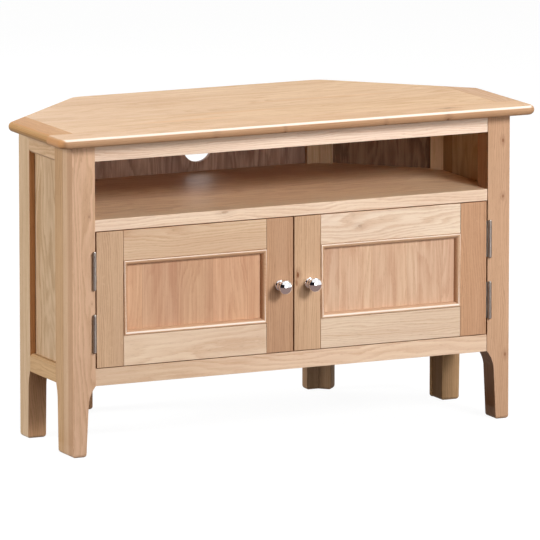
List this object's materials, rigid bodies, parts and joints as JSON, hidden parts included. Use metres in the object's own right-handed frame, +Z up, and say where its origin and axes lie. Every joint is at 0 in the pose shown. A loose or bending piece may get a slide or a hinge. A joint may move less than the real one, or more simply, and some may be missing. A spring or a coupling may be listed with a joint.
{
  "type": "corner television cabinet",
  "caption": "Corner television cabinet in light oak with an open shelf, a cupboard with hinged panelled doors, and a top cut at 45 degrees to fit a room corner.",
  "frame": {"origin": "on the floor, under the middle of the bounding box", "axes": "+X to the right seen from the front, +Y to the back, +Z up; the doors face -Y"},
  "size_m": [0.9, 0.4384, 0.555],
  "materials": {
    "oak_top": "light oak, satin lacquer, grain along the length",
    "oak_end": "light oak, satin lacquer, grain front to back",
    "oak_post": "light oak, satin lacquer, upright grain",
    "oak_rail": "light oak, satin lacquer, level grain",
    "oak_side": "light oak, satin lacquer",
    "oak_door": "light oak, satin lacquer, upright grain",
    "oak_panel": "light oak, satin lacquer, upright grain",
    "oak_shelf": "light oak, satin lacquer",
    "oak_back": "oak veneered board, matt",
    "chrome": "polished",
    "nickel": "satin nickel plate",
    "zinc": "zinc plate",
    "catch_brown": "moulded, matt"
  },
  "bodies": {
    "cabinet": {"top_centre_board": "oak_top", "top_front_board": "oak_top", "top_left_end_board": "oak_end", "top_right_end_board": "oak_end", "front_top_rail": "oak_rail", "front_middle_rail": "oak_rail", "front_bottom_rail": "oak_rail", "open_shelf": "oak_shelf", "cupboard_floor": "oak_shelf", "back_panel": "oak_back", "left_front_post": "oak_post", "left_rear_post": "oak_side", "left_back_post": "oak_side", "left_side_stile": "oak_side", "left_side_top_rail": "oak_side", "left_side_bottom_rail": "oak_side", "left_side_panel": "oak_side", "left_wall_panel": "oak_back", "left_top_cleat": "oak_shelf", "left_door_catch": "catch_brown", "left_lower_hinge_post_leaf": "nickel", "left_lower_hinge_pin": "nickel", "left_upper_hinge_post_leaf": "nickel", "left_upper_hinge_pin": "nickel", "right_front_post": "oak_post", "right_rear_post": "oak_side", "right_back_post": "oak_side", "right_side_stile": "oak_side", "right_side_top_rail": "oak_side", "right_side_bottom_rail": "oak_side", "right_side_panel": "oak_side", "right_wall_panel": "oak_back", "right_top_cleat": "oak_shelf", "right_door_catch": "catch_brown", "right_lower_hinge_post_leaf": "nickel", "right_lower_hinge_pin": "nickel", "right_upper_hinge_post_leaf": "nickel", "right_upper_hinge_pin": "nickel"},
    "left_door": {"left_door_hinge_stile": "oak_door", "left_door_meeting_stile": "oak_door", "left_door_top_rail": "oak_rail", "left_door_bottom_rail": "oak_rail", "left_door_panel": "oak_panel", "left_door_bead": "oak_panel", "left_door_knob": "chrome", "left_knob_screw": "zinc", "left_lower_hinge_door_leaf": "nickel", "left_upper_hinge_door_leaf": "nickel"},
    "right_door": {"right_door_hinge_stile": "oak_door", "right_door_meeting_stile": "oak_door", "right_door_top_rail": "oak_rail", "right_door_bottom_rail": "oak_rail", "right_door_panel": "oak_panel", "right_door_bead": "oak_panel", "right_door_knob": "chrome", "right_knob_screw": "zinc", "right_lower_hinge_door_leaf": "nickel", "right_upper_hinge_door_leaf": "nickel"}
  },
  "joints": [
    {"name": "left_door_hinge", "type": "hinge", "parent": "cabinet", "child": "left_door", "pos_m": [-0.3753, -0.18535, 0.267], "axis": [0, 0, -1], "range_deg": [0, 170]},
    {"name": "right_door_hinge", "type": "hinge", "parent": "cabinet", "child": "right_door", "pos_m": [0.3753, -0.18535, 0.267], "axis": [0, 0, 1], "range_deg": [0, 170]}
  ]
}
